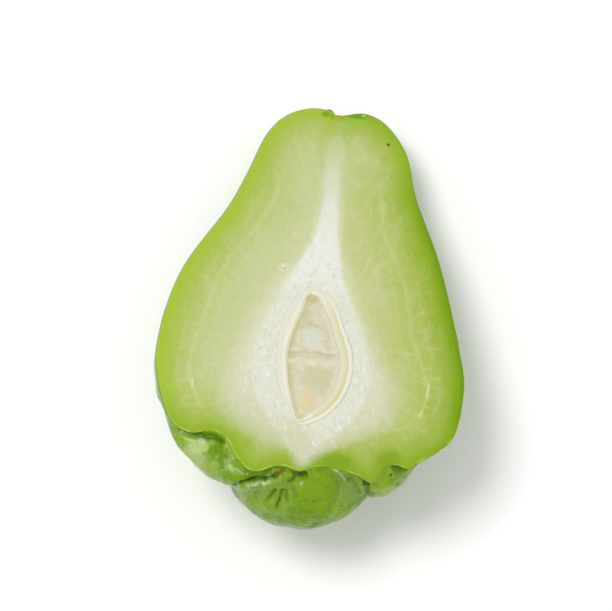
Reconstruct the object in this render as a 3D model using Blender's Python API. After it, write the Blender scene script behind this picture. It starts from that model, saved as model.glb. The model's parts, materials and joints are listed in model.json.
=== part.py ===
"""Chayote squash, the front half of a fruit cut lengthwise through its seed.

Three solids: the flesh with its skin and an empty seed seat, the seed coat
lying in the seat, and the kernel lying in the coat. Shapes are worked out in
the fruit's own frame, in millimetres: x across, y from the blossom end (0) to
the stem (118), z out of the cut face. The finished half is then laid on its
rounded back, where belly and neck touch the table, with the cut face up.
"""
import math

import bmesh
import bpy
import numpy as np

MM = 0.001

# --- the cut face -----------------------------------------------------------
SEED_CENTRE = (0.2, 36.0)
CUT_OUTLINE = (
    (0.4, 118.6), (2.2, 118.9), (4.9, 119.7), (7.8, 119.9), (13.2, 117.5), (20.6, 107.7),
    (25.0, 92.0), (33.4, 70.3), (40.8, 43.5), (43.3, 30.5), (41.3, 14.0), (37.5, 9.6),
    (32.9, 5.8), (30.2, 3.3), (26.0, 4.1), (22.8, 3.1), (20.0, -1.8), (16.2, -0.2), (10.6, 1.3),
    (5.4, 1.6), (0.0, -0.3), (-5.4, 0.9), (-13.0, -1.7), (-18.8, 3.6), (-21.0, 7.4),
    (-25.3, 9.6), (-31.5, 8.6), (-37.2, 11.8), (-43.4, 27.3), (-44.3, 38.0), (-40.6, 60.0),
    (-29.2, 84.0), (-25.4, 95.0), (-20.4, 111.0), (-15.4, 117.4), (-8.6, 120.4),
    (-3.8, 120.2), (-2.3, 119.6), (-1.3, 118.8))
COAT_OUTLINE = (
    (-2.3, 58.3), (0.3, 57.6), (2.8, 56.0), (5.3, 53.0), (8.0, 46.3), (10.3, 41.0),
    (11.7, 35.5), (11.6, 29.4), (10.2, 23.8), (7.6, 19.4), (4.2, 16.0), (0.6, 14.2),
    (-1.5, 13.8), (-2.6, 15.0), (-4.8, 18.9), (-7.5, 23.6), (-9.4, 29.5), (-10.2, 36.0),
    (-10.0, 43.5), (-8.6, 50.0), (-6.0, 55.6))
KERNEL_OUTLINE = (
    (-2.2, 57.3), (-0.1, 56.0), (2.1, 51.8), (4.3, 46.5), (6.1, 41.2), (7.6, 36.5),
    (8.0, 33.0), (7.6, 28.4), (6.5, 24.2), (4.6, 21.4), (2.2, 19.3), (0.4, 17.2),
    (-1.2, 15.4), (-2.0, 15.4), (-3.8, 18.7), (-5.8, 24.5), (-6.9, 29.7), (-7.6, 35.0),
    (-7.3, 40.4), (-6.0, 46.9), (-4.6, 51.5), (-3.9, 55.5))
COAT_DEPTH = 6.4
KERNEL_DEPTH = 4.9
KERNEL_SUNK = 0.3          # kernel's top below the cut face
FIT_GAP = 0.3              # between flesh and coat, and coat and kernel

# --- the rounded back: centre and half axes of each swelling ----------------
BELLY = ((0.0, 38.5, 0.0), (43.6, 39.0, 38.5))
NECK = ((0.0, 84.0, 0.0), (24.5, 37.0, 23.8))
LEFT_LOBE = ((-13.4, 33.2, -4.3), (30.2, 37.6, 20.4))
RIGHT_CHEEK = ((27.9, 24.1, 2.2), (15.6, 18.6, 16.8))
RIGHT_LOBE = ((20.8, 19.8, -8.6), (12.3, 21.4, 14.5))
LIP = ((-1.1, 8.4, -15.5), (20.8, 17.6, 14.9))
LIP_DOME = ((6.0, 8.0, -8.0), (7.8, 12.0, 8.6))
STEM_DIMPLE = ((0.3, 122.8, 0.0), (7.0, 4.6, 7.0))
BLOSSOM_PIT = ((0.2, -4.0, -2.0), (2.8, 5.0, 2.2))

# --- how softly the swellings run into each other ---------------------------
NECK_BLEND = 25.0
LOBE_BLEND = 4.0
CREASE_BLEND = 2.4         # sharp between the lip and its neighbours ...
KEEL_BLEND = 12.0          # ... and soft where the lip runs into the back,
KEEL_TOP = -12.0           # from this z downwards,
KEEL_DROP = 14.0           # in full this much lower
DOME_BLEND = 3.0
DIMPLE_BLEND = 3.0
PIT_BLEND = 1.0

# --- furrows that run up the back from the creases of the lip ---------------
FURROW_AZIMUTHS_DEG = (-38.0, -143.0)
FURROW_DEPTH = 2.2
FURROW_WIDTH_DEG = 8.0
FURROW_START = -4.0        # they begin at this y,
FURROW_RISE = 18.0         # are deepest this much higher
FURROW_END = 66.0          # and have faded out at this y

# --- how the back's outline turns into the cut edge's -----------------------
SIDE_BLEND_DEG = 60.0      # the broad shape
RIM_BLEND_DEG = 6.0        # the finer waves of the edge
MOUTH_BLEND_DEG = 4.2      # and where the cut runs along the mouth
BROAD_WAVE_DEG = 9.0       # waves wider than this belong to the broad shape
MOUTH_HALF_WIDTH = 24.0
MOUTH_FADE = 8.0
BLOSSOM_SIDE = -0.6        # sine of the ray angle below which the edge is all fine waves
BLOSSOM_FADE = 0.4

# --- how it lies ------------------------------------------------------------
STEM_DOWN_DEG = 16.75
PATCH_SINK = 0.45          # the skin is pressed this flat where it rests

# --- mesh density -----------------------------------------------------------
AROUND = 120
SKIN_RINGS = 20
RING_CROWDING = 1.45       # above 1, the rings crowd together near the cut edge
BOWL_RINGS = 4
CROWDED_RAYS = 2.2         # rays stand this much closer at the mouth and the stem
MOUTH_TOP = 13.0
STEM_BOTTOM = 114.0
STEM_HALF_WIDTH = 10.0

# --- search for the skin along a ray ----------------------------------------
NEAREST = 12.0
FARTHEST = 100.0
HALVINGS = 36
RAY_STEPS = 181
RAY_CROWDING = 1.5         # above 1, the rays crowd together near the cut edge
POLE_SIZE = 1e-6           # a ring smaller than this is one point


def closed_spline(points, steps=12):
    """Smooth closed curve through the points, as an (n, 2) array."""
    p = np.array(points, float)
    before, after = np.roll(p, 1, 0), np.roll(p, -1, 0)
    later = np.roll(p, -2, 0)
    d1, d2, d3 = (np.sqrt(np.linalg.norm(b - a, axis=1))[:, None]
                  for a, b in ((before, p), (p, after), (after, later)))
    m1 = d2 * ((p - before) / d1 - (after - before) / (d1 + d2) + (after - p) / d2)
    m2 = d2 * ((after - p) / d2 - (later - p) / (d2 + d3) + (later - after) / d3)
    rows = []
    for t in np.arange(steps) / steps:
        from_point = (2 * t**3 - 3 * t**2 + 1) * p + (t**3 - 2 * t**2 + t) * m1
        to_next = (3 * t**2 - 2 * t**3) * after + (t**3 - t**2) * m2
        rows.append(from_point + to_next)
    return np.stack(rows, 1).reshape(-1, 2)


def radius_at(points, angles):
    """Distance from the seed's centre to the closed curve, for each angle."""
    c = closed_spline(points) - np.array(SEED_CENTRE)
    turn = np.mod(np.arctan2(c[:, 1], c[:, 0]), 2 * math.pi)
    order = np.argsort(turn)
    return np.interp(np.mod(angles, 2 * math.pi), turn[order],
                     np.hypot(c[:, 0], c[:, 1])[order], period=2 * math.pi)


def ray_angles():
    """Directions of the rays: even steps along the cut edge, closer at both ends."""
    c = closed_spline(CUT_OUTLINE, 40)
    step = np.linalg.norm(np.roll(c, -1, 0) - c, axis=1)
    middle = (np.roll(c, -1, 0) + c) / 2
    at_mouth = middle[:, 1] < MOUTH_TOP
    at_stem = (middle[:, 1] > STEM_BOTTOM) & (np.abs(middle[:, 0]) < STEM_HALF_WIDTH)
    weighted = step * np.where(at_mouth | at_stem, CROWDED_RAYS, 1.0)
    along = np.concatenate([[0], np.cumsum(weighted)])
    turn = np.unwrap(np.arctan2(c[:, 1] - SEED_CENTRE[1], c[:, 0] - SEED_CENTRE[0]))
    turn = np.append(turn, turn[0] + math.copysign(2 * math.pi, turn[-1] - turn[0]))
    picks = np.interp(np.arange(AROUND) / AROUND * along[-1], along, turn)
    return np.sort(np.mod(picks, 2 * math.pi))


def ellipsoid(p, centre, half_axes):
    """Approximate signed distance from the points to an ellipsoid."""
    q, r = p - np.array(centre), np.array(half_axes)
    k0 = np.linalg.norm(q / r, axis=-1)
    return k0 * (k0 - 1) / np.maximum(np.linalg.norm(q / r**2, axis=-1), 1e-9)


def join(a, b, blend):
    """Distance to two bodies at once, rounded where they meet."""
    h = np.clip(0.5 + 0.5 * (b - a) / blend, 0, 1)
    return b * (1 - h) + a * h - blend * h * (1 - h)


def cut_away(body, tool, blend):
    return -join(-body, tool, blend)


def ease(t):
    """Smooth step from 0 to 1."""
    t = np.clip(t, 0, 1)
    return t * t * (3 - 2 * t)


def furrows(p):
    """Depth of the lengthwise furrows."""
    azimuth = np.degrees(np.arctan2(p[..., 2], p[..., 0]))
    upper = ease((FURROW_END - p[..., 1]) / FURROW_END)
    lower = ease((p[..., 1] - FURROW_START) / FURROW_RISE)
    return sum(FURROW_DEPTH * upper * lower
               * np.exp(-0.5 * ((azimuth - a) / FURROW_WIDTH_DEG) ** 2)
               for a in FURROW_AZIMUTHS_DEG)


def fruit(p):
    """Signed distance to the whole fruit, below the cut face."""
    body = join(ellipsoid(p, *BELLY), ellipsoid(p, *NECK), NECK_BLEND)
    for lobe in (RIGHT_CHEEK, LEFT_LOBE, RIGHT_LOBE):
        body = join(body, ellipsoid(p, *lobe), LOBE_BLEND)
    under = ease((KEEL_TOP - p[..., 2]) / KEEL_DROP)
    crease = CREASE_BLEND + (KEEL_BLEND - CREASE_BLEND) * under
    body = join(body, ellipsoid(p, *LIP), crease)
    body = join(body, ellipsoid(p, *LIP_DOME), DOME_BLEND) + furrows(p)
    body = cut_away(body, ellipsoid(p, *STEM_DIMPLE), DIMPLE_BLEND)
    return cut_away(body, ellipsoid(p, *BLOSSOM_PIT), PIT_BLEND)


def cast(directions):
    """Distance from the seed's centre to the skin, along each direction."""
    centre = np.array([*SEED_CENTRE, 0.0])
    near = np.full(directions.shape[:-1], NEAREST)
    far = np.full(directions.shape[:-1], FARTHEST)
    for _ in range(HALVINGS):
        middle = (near + far) / 2
        inside = fruit(centre + directions * middle[..., None]) < 0
        near, far = np.where(inside, middle, near), np.where(inside, far, middle)
    return (near + far) / 2


def skin_lines(angles, down, weight):
    """Lines of skin points down each ray; their upper end follows the cut outline."""
    a, b = np.meshgrid(angles, down, indexing="ij")
    directions = np.stack([np.cos(a) * np.cos(b), np.sin(a) * np.cos(b), -np.sin(b)], -1)
    reach = cast(directions)
    edge = radius_at(CUT_OUTLINE, angles)
    stretch = edge / reach[:, 0]
    broad = weight @ stretch
    broad = 1 + (broad - 1) * ease((np.sin(angles) - BLOSSOM_SIDE) / BLOSSOM_FADE)
    mouth = ease((MOUTH_HALF_WIDTH - np.abs(edge * np.cos(angles))) / MOUTH_FADE)
    mouth = mouth * (np.sin(angles) < 0)
    fine = np.radians(RIM_BLEND_DEG + (MOUTH_BLEND_DEG - RIM_BLEND_DEG) * mouth)
    at_side = 1 - ease(b / np.radians(SIDE_BLEND_DEG))
    at_rim = 1 - ease(b / fine[:, None])
    reach = reach * (1 + (broad - 1)[:, None] * at_side)
    reach = reach * (1 + (stretch / broad - 1)[:, None] * at_rim)
    return directions * reach[..., None] + np.array([*SEED_CENTRE, 0.0])


def skin(angles):
    """Rings of skin points, from the cut edge down to the middle of the back."""
    apart = np.abs(np.angle(np.exp(1j * (angles[:, None] - angles))))
    weight = np.exp(-0.5 * (np.degrees(apart) / BROAD_WAVE_DEG) ** 2)
    weight = weight / weight.sum(1, keepdims=True)
    down = np.radians(90) * np.linspace(0, 1, RAY_STEPS) ** RAY_CROWDING
    lines = skin_lines(angles, down, weight)
    steps = np.linalg.norm(np.diff(lines, axis=1, prepend=lines[:, :1]), axis=2)
    share = np.linspace(0, 1, SKIN_RINGS + 1) ** RING_CROWDING
    picks = np.array([np.interp(share * run[-1], run, down) for run in np.cumsum(steps, 1)])
    picks = weight @ picks
    rows = [[np.interp(row, down, line[:, k]) for k in range(3)]
            for row, line in zip(picks, lines)]
    return np.array(rows).transpose(2, 0, 1)


def bowl(angles, outline, grow, depth, top):
    """Rings of a bowl under an outline on the cut face, rim first."""
    radius = radius_at(outline, angles) + grow
    rings = []
    for step in range(BOWL_RINGS + 1):
        lean = math.radians(90) * step / BOWL_RINGS
        flat = radius * math.cos(lean)
        x = SEED_CENTRE[0] + flat * np.cos(angles)
        y = SEED_CENTRE[1] + flat * np.sin(angles)
        z = np.full(len(angles), top - (depth + grow) * math.sin(lean))
        rings.append(np.stack([x, y, z], 1))
    return np.array(rings)


def lay_down(rings):
    """Turn points of the fruit's frame into the pose in which the half lies."""
    tilt = math.radians(STEM_DOWN_DEG)
    turn = np.array([[1, 0, 0],
                     [0, math.cos(tilt), math.sin(tilt)],
                     [0, -math.sin(tilt), math.cos(tilt)]])
    return rings @ turn.T


def material(name, colour, roughness):
    made = bpy.data.materials.new(name)
    made.use_nodes = True
    shader = made.node_tree.nodes["Principled BSDF"]
    shader.inputs["Base Color"].default_value = (*colour, 1.0)
    shader.inputs["Roughness"].default_value = roughness
    return made


def add_body(name, rings, slot):
    """Closed body through rings, outside first; one-point rings become poles."""
    shape = bmesh.new()
    rows = []
    for ring in rings:
        pole = np.ptp(ring, axis=0).max() < POLE_SIZE
        made = [shape.verts.new(point * MM) for point in (ring[:1] if pole else ring)]
        rows.append(made * len(ring) if pole else made)
    for upper, lower in zip(rows[:-1], rows[1:]):
        for i in range(len(upper)):
            j = (i + 1) % len(upper)
            corners = dict.fromkeys((upper[i], upper[j], lower[j], lower[i]))
            shape.faces.new(tuple(corners))
    mesh = bpy.data.meshes.new(name)
    shape.to_mesh(mesh)
    shape.free()
    mesh.materials.append(slot)
    piece = bpy.data.objects.new(name, mesh)
    bpy.context.scene.collection.objects.link(piece)


def main():
    for old in list(bpy.data.objects):
        bpy.data.objects.remove(old, do_unlink=True)

    angles = ray_angles()
    seat = bowl(angles, COAT_OUTLINE, FIT_GAP, COAT_DEPTH, 0.0)
    flesh = np.concatenate([skin(angles)[::-1], seat])

    seed_angles = angles[::2]
    outer = bowl(seed_angles, COAT_OUTLINE, 0.0, COAT_DEPTH, 0.0)
    inner = bowl(seed_angles, KERNEL_OUTLINE, FIT_GAP, KERNEL_DEPTH, -KERNEL_SUNK)
    brim = inner[:1] * np.array([1, 1, 0])
    coat = np.concatenate([outer[::-1], brim, inner])

    core = bowl(seed_angles, KERNEL_OUTLINE, 0.0, KERNEL_DEPTH, -KERNEL_SUNK)
    middle = np.full((1, len(seed_angles), 3), [*SEED_CENTRE, -KERNEL_SUNK])
    kernel = np.concatenate([core[::-1], middle])

    flesh, coat, kernel = (lay_down(rings) for rings in (flesh, coat, kernel))
    lowest, highest = flesh.min((0, 1)), flesh.max((0, 1))
    origin = (lowest + highest) / 2
    origin[2] = lowest[2] + PATCH_SINK
    flesh[..., 2] = np.maximum(flesh[..., 2], origin[2])

    green = material("flesh_and_skin", (0.42, 0.55, 0.16), 0.4)
    cream = material("seed_coat", (0.80, 0.77, 0.55), 0.45)
    beige = material("seed_kernel", (0.72, 0.68, 0.47), 0.35)
    add_body("fruit_half", flesh - origin, green)
    add_body("seed_coat", coat - origin, cream)
    add_body("seed_kernel", kernel - origin, beige)


main()
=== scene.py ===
"""Looks of a chayote squash half, lying on its back with the cut face up.

Shapes are worked out in the fruit's own frame, in millimetres: x across, y from
the blossom end (0) to the stem (118), z out of the cut face, with the skin below
it. place() turns them into the frame's metres. The rounded back repeats part.py's
swellings with finer mesh, sharper creases, wrinkles and a rounded cut edge.
Colours are given as the sRGB bytes that the surface shows in the studio's light.
"""
import json
import math

import bpy
import numpy as np
from mathutils import Matrix, Vector


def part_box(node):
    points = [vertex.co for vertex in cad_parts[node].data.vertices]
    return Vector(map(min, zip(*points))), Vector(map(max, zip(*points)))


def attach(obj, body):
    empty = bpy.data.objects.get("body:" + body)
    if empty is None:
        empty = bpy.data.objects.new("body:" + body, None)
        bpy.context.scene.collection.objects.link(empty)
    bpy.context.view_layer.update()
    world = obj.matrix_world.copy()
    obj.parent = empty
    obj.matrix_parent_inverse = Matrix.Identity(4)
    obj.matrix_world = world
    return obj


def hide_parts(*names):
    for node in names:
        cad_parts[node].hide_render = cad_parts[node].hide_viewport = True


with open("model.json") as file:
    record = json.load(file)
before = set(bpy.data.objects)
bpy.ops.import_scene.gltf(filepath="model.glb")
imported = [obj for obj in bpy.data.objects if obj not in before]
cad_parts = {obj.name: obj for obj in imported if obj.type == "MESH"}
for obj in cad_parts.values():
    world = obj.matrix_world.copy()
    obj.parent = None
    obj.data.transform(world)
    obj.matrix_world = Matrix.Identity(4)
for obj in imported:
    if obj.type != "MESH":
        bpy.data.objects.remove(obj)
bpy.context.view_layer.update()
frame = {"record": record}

MM = 0.001
MM_PER_CM = 10.0
BARELY = 1e-9              # keeps a division by nothing away

# === the cut face, as in part.py ===
SEED_CENTRE = (0.2, 36.0)
CUT_OUTLINE = (
    (0.4, 118.6), (2.2, 118.9), (4.9, 119.7), (7.8, 119.9), (13.2, 117.5), (20.6, 107.7),
    (25.0, 92.0), (33.4, 70.3), (40.8, 43.5), (43.3, 30.5), (41.3, 14.0), (37.5, 9.6),
    (32.9, 5.8), (30.2, 3.3), (26.0, 4.1), (22.8, 3.1), (20.0, -1.8), (16.2, -0.2), (10.6, 1.3),
    (5.4, 1.6), (0.0, -0.3), (-5.4, 0.9), (-13.0, -1.7), (-18.8, 3.6), (-21.0, 7.4),
    (-25.3, 9.6), (-31.5, 8.6), (-37.2, 11.8), (-43.4, 27.3), (-44.3, 38.0), (-40.6, 60.0),
    (-29.2, 84.0), (-25.4, 95.0), (-20.4, 111.0), (-15.4, 117.4), (-8.6, 120.4),
    (-3.8, 120.2), (-2.3, 119.6), (-1.3, 118.8))
COAT_OUTLINE = (
    (-2.3, 58.3), (0.3, 57.6), (2.8, 56.0), (5.3, 53.0), (8.0, 46.3), (10.3, 41.0),
    (11.7, 35.5), (11.6, 29.4), (10.2, 23.8), (7.6, 19.4), (4.2, 16.0), (0.6, 14.2),
    (-1.5, 13.8), (-2.6, 15.0), (-4.8, 18.9), (-7.5, 23.6), (-9.4, 29.5), (-10.2, 36.0),
    (-10.0, 43.5), (-8.6, 50.0), (-6.0, 55.6))
KERNEL_OUTLINE = (
    (-2.2, 57.3), (-0.1, 56.0), (2.1, 51.8), (4.3, 46.5), (6.1, 41.2), (7.6, 36.5),
    (8.0, 33.0), (7.6, 28.4), (6.5, 24.2), (4.6, 21.4), (2.2, 19.3), (0.4, 17.2),
    (-1.2, 15.4), (-2.0, 15.4), (-3.8, 18.7), (-5.8, 24.5), (-6.9, 29.7), (-7.6, 35.0),
    (-7.3, 40.4), (-6.0, 46.9), (-4.6, 51.5), (-3.9, 55.5))
COAT_DEPTH = 6.4
KERNEL_DEPTH = 4.9
KERNEL_SUNK = 0.3          # kernel's top below the cut face
SEAT_GAP = 0.02            # between flesh and coat; the looks' meshes nearly touch
COAT_GAP = 0.01            # between coat and kernel

# === zones of the cut face, which only colour it ===
HALO_OUTLINE = (  # the soft white zone round the core
    (-1.6, 111.0), (-2.2, 102.0), (-2.2, 90.0), (-3.0, 79.0), (-5.9, 67.8),
    (-10.6, 58.8), (-15.6, 47.8), (-19.6, 35.3), (-22.2, 23.0), (-19.6, 16.2),
    (-11.6, 10.4), (-3.6, 5.0), (0.0, 0.8), (4.8, 4.4), (13.0, 10.4),
    (21.4, 16.8), (21.6, 25.0), (16.2, 37.9), (10.6, 49.6), (6.6, 61.0),
    (4.6, 74.0), (3.5, 89.0), (3.0, 98.0), (1.6, 109.0))
PITH_OUTLINE = (  # the white sponge round the seed, and its streak to the stem
    (0.0, 113.0), (-3.0, 110.0), (-3.2, 98.0), (-3.0, 86.0), (-4.0, 75.0),
    (-7.1, 66.3), (-9.9, 60.0), (-12.4, 52.5), (-15.0, 45.0), (-16.3, 37.5),
    (-16.6, 29.0), (-14.5, 21.5), (-9.5, 14.0), (-3.5, 7.0), (0.0, 3.0),
    (4.0, 7.0), (10.5, 14.0), (15.5, 21.0), (16.9, 30.0), (15.6, 37.5),
    (13.4, 45.0), (10.5, 52.5), (7.2, 60.0), (5.4, 66.3), (4.3, 75.0),
    (3.6, 88.0), (3.3, 98.0), (3.0, 110.0))
VEIN_OUTLINE = (  # the ring of fine veins half way to the skin
    (0.0, 114.0), (-12.0, 111.0), (-14.5, 97.5), (-17.5, 84.0), (-20.8, 76.2),
    (-26.9, 66.2), (-30.2, 55.0), (-32.5, 45.0), (-33.7, 37.5), (-34.0, 30.0),
    (-32.3, 22.0), (-27.0, 14.5), (-14.0, 9.0), (0.0, 0.5), (12.0, 8.5),
    (20.0, 12.5), (29.6, 17.5), (32.8, 25.0), (32.4, 31.0), (30.3, 37.5),
    (28.1, 43.8), (26.2, 52.5), (23.7, 62.5), (20.6, 70.0), (17.6, 76.2),
    (15.0, 91.2), (13.7, 103.7), (8.0, 111.0))
FACE_FIELDS = (("rim", CUT_OUTLINE), ("halo", HALO_OUTLINE),
               ("pith", PITH_OUTLINE), ("vein", VEIN_OUTLINE))

# === the rounded back, as in part.py: centre and half axes ===
BELLY = ((0.0, 38.5, 0.0), (43.6, 39.0, 38.5))
NECK = ((0.0, 84.0, 0.0), (24.5, 37.0, 23.8))
LEFT_LOBE = ((-13.4, 33.2, -4.3), (30.2, 37.6, 20.4))
RIGHT_CHEEK = ((27.9, 24.1, 2.2), (15.6, 18.6, 16.8))
RIGHT_LOBE = ((20.8, 19.8, -8.6), (12.3, 21.4, 14.5))
LIP = ((-1.1, 8.4, -15.5), (20.8, 17.6, 14.9))
LIP_DOME = ((6.0, 8.0, -8.0), (7.8, 12.0, 8.6))
STEM_DIMPLE = ((0.3, 122.8, 0.0), (7.0, 4.6, 7.0))
BLOSSOM_PIT = ((0.2, -4.0, -2.0), (2.8, 5.0, 2.2))

# --- how softly the swellings run into each other ---
NECK_BLEND = 25.0
LOBE_BLEND = 4.0
CREASE_BLEND = 2.4         # sharp between the lip and its neighbours ...
KEEL_BLEND = 12.0          # ... and soft where the lip runs into the back,
KEEL_TOP = -12.0           # from this z downwards,
KEEL_DROP = 14.0           # in full this much lower
DOME_BLEND = 1.6           # crisper than in part.py
DIMPLE_BLEND = 3.0
PIT_BLEND = 1.0

# --- furrows that run up the back from the creases of the lip ---
FURROW_AZIMUTHS_DEG = (-38.0, -143.0)
FURROW_DEPTH = 2.2
FURROW_WIDTH_DEG = 8.0
FURROW_START = -4.0        # they begin at this y,
FURROW_RISE = 18.0         # are deepest this much higher
FURROW_END = 66.0          # and have faded out at this y

# --- how the back's outline turns into the cut edge's ---
SIDE_BLEND_DEG = 60.0      # the broad shape
RIM_BLEND_DEG = 6.0        # the finer waves of the edge
MOUTH_BLEND_DEG = 3.6      # and where the cut runs along the mouth, closer than in part.py
BROAD_WAVE_DEG = 9.0       # waves wider than this belong to the broad shape
MOUTH_HALF_WIDTH = 24.0
MOUTH_FADE = 8.0
BLOSSOM_SIDE = -0.6        # sine of the ray angle below which the edge is all fine waves
BLOSSOM_FADE = 0.4
EDGE_ROUNDING = 0.25       # the knife's edge is this round
EDGE_CLEARANCE = 0.3       # rings of skin above this depth give way to the rounded edge

# === lumps, folds, pale lines of painted highlight, and streaks ===
LUMPS = (  # height, length, random seed and stretch of each size of lump
    (0.24, 15.0, 3, (1, 1, 1)),
    (0.08, 5.0, 4, (1, 2.2, 1)),
    (0.03, 1.9, 5, (1, 3.5, 1)))
LUMP_FADE = 3.0            # lumps reach their full height this far below the cut,
FOLD_FADE = 0.8            # and folds this far
FOLD_CEILING = -0.35       # no fold lifts the skin above this level
WANDER = 0.14              # fold lines stray this far,
WANDER_LENGTH = 5.0        # in waves of this length
WANDER_SEEDS = (31, 32, 33)
FOLDS = (  # line, half width and height
    # grooves under the cut edge, left to right
    (((-34.0, 9.6, -1.4), (-30.0, 8.2, -1.2), (-27.3, 8.4, -1.2), (-25.1, 8.4, -1.0),
      (-22.6, 7.2, -0.8)), 0.8, -1.4),
    (((-17.3, 0.9, -0.9), (-15.0, -0.6, -0.9), (-12.0, -0.8, -0.7)), 0.5, -0.8),
    (((-9.4, -0.6, -0.6), (-7.6, -0.1, -0.5), (-5.5, 0.4, -0.5), (-3.5, 0.2, -0.5),
      (-2.1, -0.3, -0.7)), 0.5, -1.1),
    (((25.5, 4.2, -1.0), (27.5, 3.9, -1.4), (30.0, 3.5, -1.2)), 0.8, -1.1),
    # creases between the lip and its neighbours
    (((-18.5, -0.6, -11.0), (-17.4, -3.3, -6.2), (-15.7, -4.0, -3.6), (-13.7, -3.8, -2.1),
      (-11.9, -3.2, -1.4), (-9.3, -2.6, -1.4), (-6.8, -1.9, -1.4)), 0.48, -1.8),
    (((17.8, 0.8, -2.8), (18.8, 0.0, -5.0), (19.1, -0.4, -7.3), (18.6, 1.2, -13.0)), 0.5, -1.0),
    (((13.9, 0.2, -5.4), (15.4, -0.6, -8.0), (16.6, -1.4, -11.0)), 0.4, -0.7),
    # a small bump of skin beside the stem
    (((-3.4, 119.6, -0.9), (-2.9, 119.4, -1.6)), 0.7, 1.0),
    # the blossom's scar
    (((-1.0, 0.0, -2.6), (0.9, 0.4, -2.6)), 0.8, -1.0),
    # wrinkles running down the lip
    (((-4.6, -4.6, -4.6), (-5.0, -5.6, -5.6), (-5.3, -7.0, -7.0), (-5.9, -8.8, -9.4)), 0.38, -1.15),
    (((-3.2, -4.6, -4.4), (-3.0, -6.0, -5.6), (-2.8, -7.4, -7.2)), 0.40, -0.90),
    (((-6.4, -5.0, -5.2), (-8.0, -6.2, -6.9), (-9.2, -7.2, -8.8)), 0.40, -1.00),
    (((10.6, -0.2, -3.0), (11.5, -1.2, -5.8), (11.6, -3.9, -8.2), (9.6, -6.6, -9.6)), 0.45, -0.50),
    (((-11.2, -4.6, -6.6), (-12.4, -6.0, -10.0)), 0.50, -0.60),
    (((-1.4, -3.2, -5.0), (-0.6, -5.4, -6.4)), 0.50, -0.80),
    (((2.2, -6.0, -6.2), (3.6, -6.9, -6.9), (5.4, -6.9, -7.2), (6.8, -6.0, -7.0)), 0.40, -0.60),
    (((-0.6, -7.4, -9.0), (-1.0, -9.0, -12.0)), 0.45, -0.45),
    # swellings: left lobe, its rim, the small roll beside the pit, the lip's edge, the dome's rim
    (((-23.9, 3.6, -0.8), (-21.7, 1.4, -1.0)), 1.8, 0.8),
    (((-27.8, 7.2, -2.0), (-25.4, 6.9, -1.8)), 1.0, 0.7),
    (((-5.0, -1.9, -2.0), (-3.6, -1.5, -1.4), (-2.4, -1.3, -1.6)), 0.8, 0.7),
    (((-15.0, -3.8, -6.0), (-12.8, -4.2, -4.6), (-10.6, -4.3, -4.0), (-8.9, -3.9, -3.4),
      (-7.2, -3.2, -2.8)), 1.6, 0.9),
    (((10.0, 1.1, -0.6), (11.2, 0.6, -1.6), (12.7, 0.5, -5.0)), 0.55, 0.6))
PALE_GLINT_LINES = (  # pale lines along rims, flecked with painted highlights and partly pale stretched skin, and strength
    (((-21.1, 6.7, -0.4), (-19.8, 4.4, -0.3), (-18.6, 2.1, -0.5), (-18.6, 0.8, -1.2),
      (-19.7, -0.6, -1.4), (-21.5, -1.4, -2.4)), 0.3),
    (((9.8, 1.3, -0.3), (11.1, 0.6, -1.4), (12.7, 0.5, -5.0)), 0.8),
    (((-14.4, -4.0, -4.2), (-12.6, -4.0, -2.9), (-10.6, -3.8, -2.5), (-8.8, -3.4, -2.1),
      (-7.0, -2.6, -1.8)), 1.0))
PALE_GLINT_LINE_WIDTH = 0.34
STREAKS_ROUND = 3.0        # how fast streaks change round the seed,
STREAK_LENGTH = 40.0       # and how slowly along their way from it

# === relief of the kernel's face ===
KERNEL_HOLLOW = (-0.3, -0.24)  # depth, and how much more on the left,
HOLLOW_EDGE, HOLLOW_WIDTH = 2.0, 8.0  # from this x leftwards, over this width
KERNEL_RIDGES = ((0.27, 34.6, 1.2), (-0.12, 37.1, 0.6))  # height, y and half width
RIDGE_SLANT = 0.05
KERNEL_DOMES = (  # height, centre and half axes
    (0.30, (-0.6, 42.0), (2.6, 3.4)),
    (0.30, (-0.8, 22.6), (1.8, 2.2)))
KERNEL_RIPPLE = (0.04, 3.0, 21)  # height, length and random seed
RELIEF_FADE = 1.2  # the kernel's rim is level this far in

# === colours, as (position, colour) stops ===
FLESH_REACH = 30.0         # the flesh's stops are spread over this depth from the rim
FLESH_LEFT = (
    (0.02, (170, 199, 66)), (0.05, (168, 197, 58)), (0.085, (172, 197, 70)),
    (0.13, (173, 195, 78)), (0.19, (177, 196, 90)), (0.26, (183, 198, 107)),
    (0.36, (190, 202, 124)), (0.48, (196, 206, 138)), (0.74, (205, 210, 155)),
    (1.00, (213, 216, 173)))
FLESH_RIGHT = (
    (0.02, (118, 154, 12)), (0.05, (128, 165, 10)), (0.085, (137, 170, 24)),
    (0.13, (150, 178, 50)), (0.19, (157, 181, 62)), (0.26, (169, 187, 79)),
    (0.36, (180, 194, 98)), (0.48, (185, 197, 109)), (0.74, (200, 205, 138)),
    (1.00, (208, 211, 154)))
FLESH_BOTTOM = (
    (0.02, (144, 174, 42)), (0.08, (153, 181, 54)), (0.20, (164, 186, 74)),
    (0.34, (179, 194, 100)), (0.60, (194, 203, 136)), (1.00, (205, 208, 160)))
SKIN_CLOUDS = ((0.30, (104, 146, 6)), (0.5, (124, 162, 22)), (0.7, (146, 178, 50)))
COAT_STRIPES = (  # from the kernel outwards, on the right
    (0.00, (222, 216, 190)), (0.22, (231, 224, 200)), (0.36, (226, 222, 178)),
    (0.52, (224, 220, 170)), (0.58, (208, 203, 158)), (0.66, (236, 234, 204)),
    (0.82, (239, 238, 220)), (0.92, (228, 226, 204)), (0.985, (204, 199, 174)))
COAT_PLAIN = (  # from the kernel outwards, on the left
    (0.00, (248, 243, 214)), (0.14, (240, 235, 214)), (0.60, (231, 226, 210)),
    (0.82, (232, 230, 210)), (0.93, (229, 229, 212)), (0.985, (224, 223, 204)))
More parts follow.
